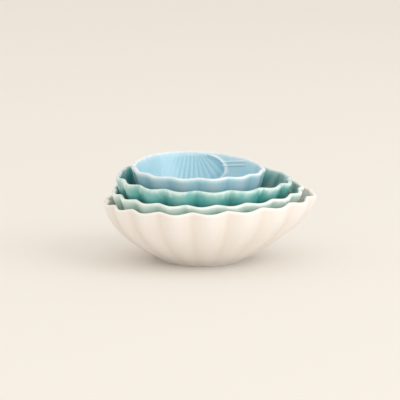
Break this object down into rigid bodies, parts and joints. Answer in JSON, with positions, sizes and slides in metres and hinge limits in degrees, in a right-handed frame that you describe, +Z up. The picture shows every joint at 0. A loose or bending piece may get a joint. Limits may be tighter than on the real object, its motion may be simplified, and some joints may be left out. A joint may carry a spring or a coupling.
{
  "type": "nesting bowl set",
  "caption": "Nest of fluted ceramic prep bowls with waved rims drawn out into shallow lips, each standing in the next larger; the smallest has a shell relief inside.",
  "frame": {"origin": "centre of the nest's bounding box in plan, on the plane the foot ring stands on", "axes": "+Z up out of the bowls; +X towards the side the two largest rims are drawn out to; +Y to the back, where the smallest bowl's rim rises"},
  "size_m": [0.1326, 0.1288, 0.0626],
  "materials": {
    "white_glaze": "satin warm white glaze",
    "mint_glaze": "glossy pale mint glaze",
    "teal_glaze": "glossy teal glaze, thin and pale on the rim",
    "blue_glaze": "glossy light blue glaze, thin and pale on the rim"
  },
  "bodies": {
    "largest": {"white_bowl": "white_glaze"},
    "second": {"mint_bowl": "mint_glaze"},
    "third": {"teal_bowl": "teal_glaze"},
    "smallest": {"blue_bowl": "blue_glaze"}
  },
  "joints": [
    {"name": "second_lift", "type": "slide", "parent": "largest", "child": "second", "axis": [0, 0, 1], "range_m": [0, 0.06]},
    {"name": "third_lift", "type": "slide", "parent": "second", "child": "third", "axis": [0, 0, 1], "range_m": [0, 0.055]},
    {"name": "smallest_lift", "type": "slide", "parent": "third", "child": "smallest", "axis": [0, 0, 1], "range_m": [0, 0.055]}
  ]
}
